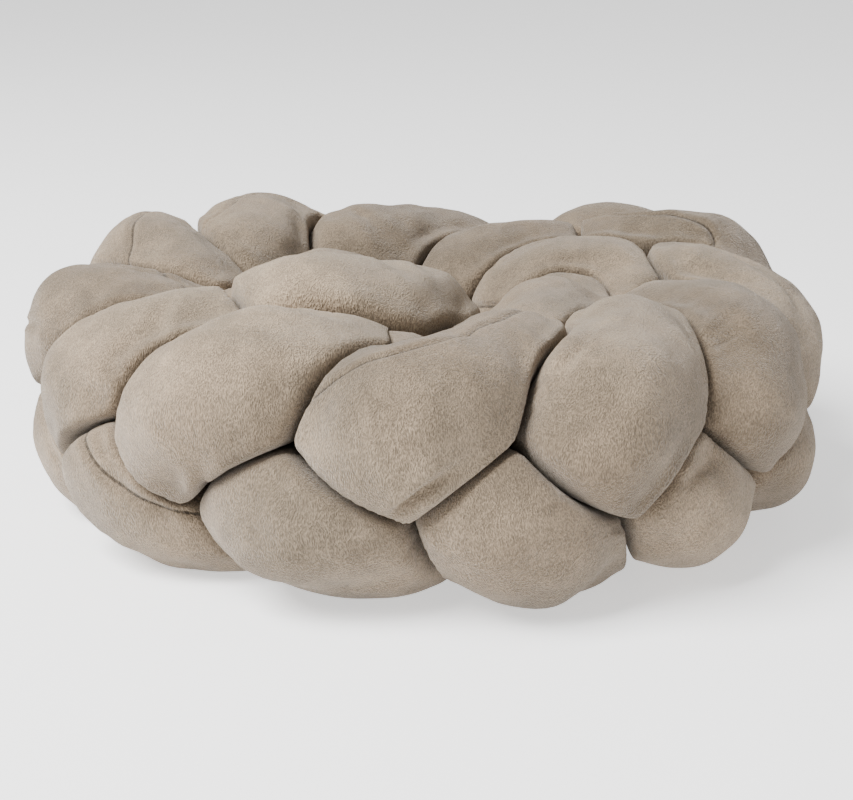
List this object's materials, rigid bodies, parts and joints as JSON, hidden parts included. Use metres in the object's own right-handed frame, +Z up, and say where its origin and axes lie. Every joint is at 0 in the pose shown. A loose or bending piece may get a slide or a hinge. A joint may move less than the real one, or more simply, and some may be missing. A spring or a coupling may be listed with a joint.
{
  "type": "braided crib bumper",
  "caption": "Soft crib bumper of stuffed plush tubes plaited together, stood on edge and coiled around an open middle.",
  "frame": {"origin": "on the floor under the middle of the coiled bumper", "axes": "+Z up; +X along the longer way across the coil, towards the doubled right side; +Y towards the back, where the coil is a single plait at the left and its outer end lies"},
  "size_m": [0.503, 0.4544, 0.1702],
  "materials": {
    "plush": "short-pile plush, brushed both ways"
  },
  "bodies": {
    "root": {"strand_one": "plush", "strand_two": "plush", "strand_three": "plush"}
  },
  "joints": []
}
